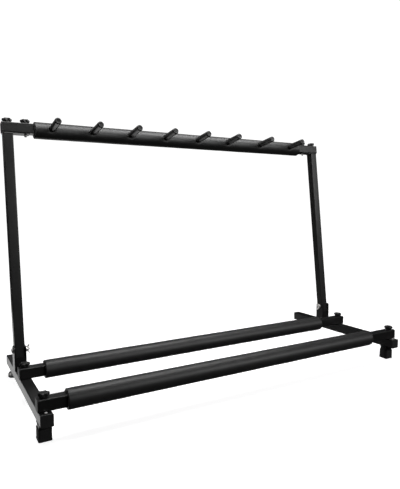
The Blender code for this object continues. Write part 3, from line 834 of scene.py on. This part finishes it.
def brackets():
    """Channels bent from sheet, with rounded flange tops, welded to the base tubes."""
    pivot = Vector(JOINTS["fold"]["pos_m"])
    for side in SIDES:
        node = "pivot_bracket_" + side
        low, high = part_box(node)
        size = high - low
        place = centre(node)
        tall = (size.z * cos(BASE_TILT) - size.y * sin(BASE_TILT)) / cos(2 * BASE_TILT)
        deep = (size.y * cos(BASE_TILT) - size.z * sin(BASE_TILT)) / cos(2 * BASE_TILT)
        wide = size.x
        bend = 0.0023
        outer, inner = [], []
        for quarter, sign in ((0, 1), (1, -1)):
            for k in range(7):
                turn = pi + pi / 2 * (quarter + k / 6)
                corner_x = -sign * (wide / 2 - bend)
                outer.append((corner_x + bend * cos(turn), bend - deep / 2 + bend * sin(turn)))
                inner.append((corner_x + (bend - SHEET) * cos(turn),
                              bend - deep / 2 + (bend - SHEET) * sin(turn)))
        outline = [(-wide / 2, deep / 2)] + outer + [(wide / 2, deep / 2)]
        outline += [(wide / 2 - SHEET, deep / 2)] + inner[::-1] + [(SHEET - wide / 2, deep / 2)]
        channel = skin([[(x, y, z) for x, y in outline] for z in (-tall / 2, tall / 2)])
        # Keep what lies inside the rounded side outline
        round_top = 0.0050
        side_view = arc((deep / 2 - round_top, tall / 2 - round_top), round_top, 0, 90, 10)
        side_view += arc((round_top - deep / 2, tall / 2 - round_top), round_top, 90, 180, 10)
        side_view += [(-deep / 2 - 0.001, -tall / 2 - 0.001), (deep / 2 + 0.001, -tall / 2 - 0.001)]
        block = skin([[(x, y, z) for y, z in side_view] for x in (-wide, wide)])
        mesh = combined(channel, block, "INTERSECT")
        notch_low = pivot.z - place.z - WEB_DROP
        notch = slab((POST + 0.0008, 0.010, 0.060), 0.0016, 0.0002)
        notch = moved(notch, at((0, -deep / 2, notch_low + 0.030)))
        hole = moved(rods(STUD_HOLE, 0.1, [(0, 0, 0)], ALONG_X),
                     BASE_TURN.inverted() @ Matrix.Translation((0, pivot.y - place.y, pivot.z - place.z)))
        mesh = combined(mesh, joined([notch, hole]))
        add_piece(node + "_steel", moved(mesh, at(place, BASE_TURN)), COAT, node)
        foot = -tall / 2
        front = -deep / 2
        lines = [[(x * (POST / 2 - 0.001), front - 0.0001, foot) for x in (-1, 1)]]
        for x in (-1, 1):
            lines.append([(x * (TUBE / 2 + 0.0002), y, foot - 0.0004)
                          for y in (front + 0.003, deep / 2 - 0.002)])
        weld = joined([bead(line, 0.0008, closed=False) for line in lines])
        add_piece(node + "_weld", moved(weld, at(place, BASE_TURN)), COAT, node, False)


# ---------------------------------------------------------------- pivot hardware

def wing_nut_mesh(tall):
    """Forged wing nut along Z: a conical hub with two flared wings, bored through."""
    hub = turned([(0, 0), (0.0051, 0), (0.0052, 0.0004), (0.0048, 0.0026), (0.0044, 0.0046),
                  (0.0042, 0.0050), (0, 0.0050)], 36)
    wings = []
    for sign in (-1, 1):
        # (out, up, half width, half thickness) of each section of a wing
        spine = ((0.0026, 0.0018, 0.0028, 0.0015), (0.0044, 0.0030, 0.0031, 0.0014),
                 (0.0062, 0.0044, 0.0034, 0.0013), (0.0078, 0.0057, 0.0033, 0.0013),
                 (0.0089, 0.0066, 0.0026, 0.0012), (0.0095, 0.0071, 0.0014, 0.0010))
        rows = []
        for out, up, half, thick in spine:
            slope = 0.80
            normal = Vector((-sin(slope), 0, cos(slope)))
            row = []
            for k in range(20):
                turn = 2 * pi * k / 20
                flat = Vector((0, half * math.copysign(abs(cos(turn)) ** 0.7, cos(turn)), 0))
                point = Vector((out, 0, min(up, tall - 0.0013))) + flat
                point += normal * thick * math.copysign(abs(sin(turn)) ** 0.8, sin(turn))
                row.append((sign * point.x, point.y, point.z))
            rows.append(row)
        wings.append(skin(rows))
    body = combined(hub, joined(wings), "UNION", 0.00030, 4)
    bore = rods(STUD + 0.0001, 0.03, [(0, 0, 0)], LEVEL, 36)
    return combined(body, bore)


def pivots():
    """Carriage bolts, washers and wing nuts that clamp the uprights."""
    for side, sign in zip(SIDES, (-1, 1)):
        inward = Matrix.Rotation(-sign * pi / 2, 4, "Y")
        node = "pivot_bolt_" + side
        low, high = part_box(node)
        axis = centre(node)
        seat = low.x + BOLT_HEAD if sign < 0 else high.x - BOLT_HEAD
        length = high.x - low.x - BOLT_HEAD
        steps = 24
        rows = [ring(0, -BOLT_HEAD, steps)]
        rows += [ring(radius, -height, steps) for radius, height in
                 ((0.0016, 0.00335), (0.0031, 0.0031), (0.0044, 0.0026), (0.0055, 0.0019),
                  (0.0063, 0.0011), (0.0067, 0.0004), (0.0068, 0.0))]
        rows += [ring(STUD, 0.0, steps), ring(STUD, length * 0.52, steps)]
        bolt = skin(threaded(rows, length * 0.55, length - 0.0002, steps))
        place = Vector((seat, axis.y, axis.z))
        add_piece(node + "_steel", moved(bolt, at(place, BASE_TURN, inward)), ZINC, node)
        node = "pivot_washer_" + side
        low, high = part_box(node)
        thick = high.x - low.x
        reach = (high.y - low.y) / 2
        edge = 0.0002
        profile = [(reach - edge, thick / 2), (reach, thick / 2 - edge), (reach, edge - thick / 2),
                   (reach - edge, -thick / 2), (STUD_HOLE, -thick / 2), (STUD + 0.0003, 0),
                   (STUD_HOLE, thick / 2)]
        add_piece(node + "_ring", moved(turned(profile, 48, True), at(centre(node), BASE_TURN, ALONG_X)),
                  ZINC, node)
        node = "wing_nut_" + side
        low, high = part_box(node)
        face = low.x if sign < 0 else high.x
        nut = wing_nut_mesh(high.x - low.x)
        place = Vector((face, axis.y, axis.z))
        add_piece(node + "_forging", moved(nut, at(place, BASE_TURN, inward)), ZINC, node, sharp=50)


# ---------------------------------------------------------------- stage, light, camera

BACKDROP = 9.0              # radius of the floor and the dome


def stage():
    """Pale sweep: a floor and a plain dome that only the camera sees."""
    floor_mesh = skin([ring(BACKDROP, -0.0001, 96), ring(BACKDROP, 0.0, 96)])
    floor = bpy.data.objects.new("floor", floor_mesh)
    dome_mesh = skin([ring(BACKDROP * cos(t), BACKDROP * sin(t), 96)
                      for t in (radians(k) for k in (-12, 0, 15, 30, 45, 60, 75))]
                     + [ring(0, BACKDROP, 96)])
    dome = bpy.data.objects.new("backdrop", dome_mesh)
    for obj in (floor, dome):
        bpy.context.scene.collection.objects.link(obj)
        obj.visible_diffuse = False
        obj.visible_glossy = False
        obj.visible_transmission = False
        obj.visible_shadow = False
    material, shader, place = new_material("floor_white", grey(0.80), 0.9)
    cloud = noise_of(material, place, 1.5, 2)
    ramp(material, cloud, ((0.3, grey(0.79)), (0.7, grey(0.81))), shader.inputs["Base Color"])
    shader.inputs["Specular IOR Level"].default_value = 0.0
    shader.inputs["Emission Color"].default_value = (1, 1, 1, 1)
    # The floor fades into the backdrop further out
    nodes, links = material.node_tree.nodes, material.node_tree.links
    away = nodes.new("ShaderNodeVectorMath")
    away.operation = "LENGTH"
    links.new(place, away.inputs[0])
    fade = nodes.new("ShaderNodeMapRange")
    fade.inputs["From Min"].default_value = 0.5
    fade.inputs["From Max"].default_value = 2.0
    fade.inputs["To Min"].default_value = 0.84
    fade.inputs["To Max"].default_value = 1.1
    links.new(away.outputs["Value"], fade.inputs["Value"])
    links.new(fade.outputs["Result"], shader.inputs["Emission Strength"])
    floor.data.materials.append(material)
    glow = bpy.data.materials.new("backdrop_white")
    glow.use_nodes = True
    nodes, links = glow.node_tree.nodes, glow.node_tree.links
    nodes.clear()
    light = nodes.new("ShaderNodeEmission")
    light.inputs["Color"].default_value = (1, 1, 1, 1)
    light.inputs["Strength"].default_value = 1.1
    links.new(light.outputs["Emission"], nodes.new("ShaderNodeOutputMaterial").inputs["Surface"])
    dome.data.materials.append(glow)


def softbox(name, place, target, size, power):
    """Soft area light that the camera does not see."""
    lamp = bpy.data.lights.new(name, "AREA")
    lamp.shape = "RECTANGLE"
    lamp.size, lamp.size_y = size
    lamp.energy = power
    holder = bpy.data.objects.new(name, lamp)
    holder.location = place
    holder.visible_camera = False
    aim = Vector(target) - Vector(place)
    holder.rotation_euler = aim.to_track_quat("-Z", "Y").to_euler()
    bpy.context.scene.collection.objects.link(holder)


def lights():
    """A strip overhead, a box in front, softer ones round the back and a faint surround."""
    softbox("overhead", (0, 0.0, 1.0), (0, 0.1, 0), (1.2, 0.30), 10)
    softbox("front", (1.3, -2.2, 1.15), (0, 0, 0.25), (1.6, 0.7), 26)
    softbox("below", (-0.2, 3.0, -1.3), (0, 0, 0.2), (3.0, 1.5), 18)
    softbox("left", (-2.6, 0.2, 0.9), (-0.4, 0, 0.1), (1.2, 1.6), 5)
    softbox("back", (-0.2, 3.2, 1.3), (0, 0, 0.2), (4.0, 1.2), 3)
    world = bpy.data.worlds.new("surround")
    bpy.context.scene.world = world
    world.use_nodes = True
    back = world.node_tree.nodes["Background"]
    back.inputs["Color"].default_value = (1, 1, 1, 1)
    back.inputs["Strength"].default_value = 0.02


def camera():
    lens = bpy.data.cameras.new("camera")
    lens.lens = 34.96
    lens.sensor_width = 36.0
    lens.clip_end = 50
    holder = bpy.data.objects.new("camera", lens)
    yaw, pitch, roll = 0.52374, -0.10168, 0.008727
    ahead = Vector((sin(yaw) * cos(pitch), cos(yaw) * cos(pitch), sin(pitch)))
    right = Vector((cos(yaw), -sin(yaw), 0))
    up = right.cross(ahead)
    x_axis = right * cos(roll) + up * sin(roll)
    y_axis = up * cos(roll) - right * sin(roll)
    turn = Matrix((x_axis, y_axis, -ahead)).transposed().to_4x4()
    holder.matrix_world = Matrix.Translation((-0.6076, -0.98487, 0.4258)) @ turn
    bpy.context.scene.collection.objects.link(holder)
    bpy.context.scene.camera = holder


base_tubes()
rails()
end_plugs()
plug_screws()
feet()
brackets()
pivots()
uprights()
corner_plates()
foam_sleeves()
peg_sleeves()
knobs()
stage()
lights()
camera()
bpy.context.scene.view_settings.view_transform = "Standard"
